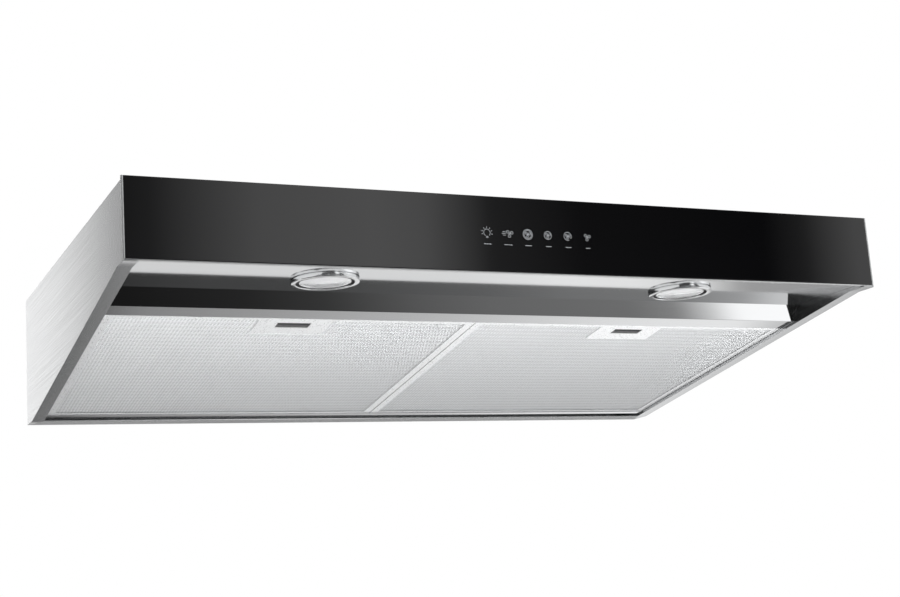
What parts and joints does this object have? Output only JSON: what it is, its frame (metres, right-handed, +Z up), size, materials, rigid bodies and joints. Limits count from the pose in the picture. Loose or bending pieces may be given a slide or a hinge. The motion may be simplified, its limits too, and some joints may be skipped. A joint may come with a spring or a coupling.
{
  "type": "under cabinet range hood",
  "caption": "Wide, shallow steel canopy with a black glass touch front, two lamps, sloping mesh grease filters with latches, and a twin blower under a rectangular duct collar.",
  "frame": {"origin": "centre of the four cabinet screw holes, on the top face", "axes": "+X to the right of a person facing the hood, +Y to the wall, +Z up"},
  "size_m": [0.913, 0.56, 0.2],
  "materials": {
    "brushed_stainless": "brushed",
    "bright_stainless": "fine brushed",
    "black_glass": "polished",
    "chrome_plate": "polished",
    "clear_glass": "polished",
    "mirror_aluminium": "polished",
    "frosted_bulb": "frosted",
    "filter_aluminium": "satin",
    "spring_steel": "drawn",
    "galvanised_steel": "spangled",
    "black_plastic": "moulded",
    "circuit_board": "solder mask",
    "copper_winding": "enamelled",
    "ivory_plastic": "moulded",
    "foam_tape": "foam",
    "black_insulation": "satin"
  },
  "bodies": {
    "canopy": {"top_panel": "brushed_stainless", "rear_panel": "brushed_stainless", "rear_cover_plate": "galvanised_steel", "left_side_panel": "brushed_stainless", "right_side_panel": "brushed_stainless", "front_beam": "brushed_stainless", "glass_fascia": "black_glass", "left_trim": "bright_stainless", "right_trim": "bright_stainless", "fascia_tape": "foam_tape", "board_carrier": "black_plastic", "touch_board": "circuit_board", "touch_pads": "copper_winding", "lamp_panel": "bright_stainless", "front_rail": "bright_stainless", "rear_rail": "bright_stainless", "left_lamp_bezel": "chrome_plate", "right_lamp_bezel": "chrome_plate", "left_lamp_lens": "clear_glass", "right_lamp_lens": "clear_glass", "left_lamp_reflector": "mirror_aluminium", "right_lamp_reflector": "mirror_aluminium", "left_lamp_bulb": "frosted_bulb", "right_lamp_bulb": "frosted_bulb", "left_lamp_can": "galvanised_steel", "right_lamp_can": "galvanised_steel", "left_scroll": "black_plastic", "right_scroll": "black_plastic", "left_inlet_ring": "galvanised_steel", "right_inlet_ring": "galvanised_steel", "motor_housing": "galvanised_steel", "motor_stator": "copper_winding", "motor_bearings": "spring_steel", "motor_bracket": "galvanised_steel", "capacitor": "ivory_plastic", "junction_box": "galvanised_steel", "junction_cover": "galvanised_steel", "terminal_block": "ivory_plastic", "control_board": "circuit_board", "wire_harness": "black_insulation", "duct_collar": "galvanised_steel", "body_rivets": "galvanised_steel", "bracket_rivets": "galvanised_steel"},
    "left_filter": {"left_filter_frame": "filter_aluminium", "left_mesh_pack": "filter_aluminium", "left_latch_plate": "bright_stainless", "left_latch_spring": "spring_steel"},
    "right_filter": {"right_filter_frame": "filter_aluminium", "right_mesh_pack": "filter_aluminium", "right_latch_plate": "bright_stainless", "right_latch_spring": "spring_steel"},
    "left_latch": {"left_latch_slider": "filter_aluminium"},
    "right_latch": {"right_latch_slider": "filter_aluminium"},
    "rotor": {"fan_shaft": "spring_steel", "rotor_core": "galvanised_steel", "left_impeller": "black_plastic", "right_impeller": "black_plastic"},
    "damper": {"damper_flap": "filter_aluminium", "damper_rod": "spring_steel"}
  },
  "joints": [
    {"name": "left_filter_hinge", "type": "hinge", "parent": "canopy", "child": "left_filter", "pos_m": [0, 0.23208, -0.15771], "axis": [1, 0, 0], "range_deg": [0, 70]},
    {"name": "right_filter_hinge", "type": "hinge", "parent": "canopy", "child": "right_filter", "pos_m": [0, 0.23208, -0.15771], "axis": [1, 0, 0], "range_deg": [0, 70]},
    {"name": "left_latch_slide", "type": "slide", "parent": "left_filter", "child": "left_latch", "axis": [0, 0.9869, -0.1614], "range_m": [0, 0.006], "stiffness_N_per_m": 150, "springref_m": -0.004, "deforming": ["left_latch_spring"]},
    {"name": "right_latch_slide", "type": "slide", "parent": "right_filter", "child": "right_latch", "axis": [0, 0.9869, -0.1614], "range_m": [0, 0.006], "stiffness_N_per_m": 150, "springref_m": -0.004, "deforming": ["right_latch_spring"]},
    {"name": "rotor_spin", "type": "hinge", "parent": "canopy", "child": "rotor", "pos_m": [0, 0.12982, -0.06817], "axis": [1, 0, 0], "continuous": true},
    {"name": "damper_hinge", "type": "hinge", "parent": "canopy", "child": "damper", "pos_m": [0, 0.1084, 0.014], "axis": [1, 0, 0], "range_deg": [0, 75]}
  ]
}
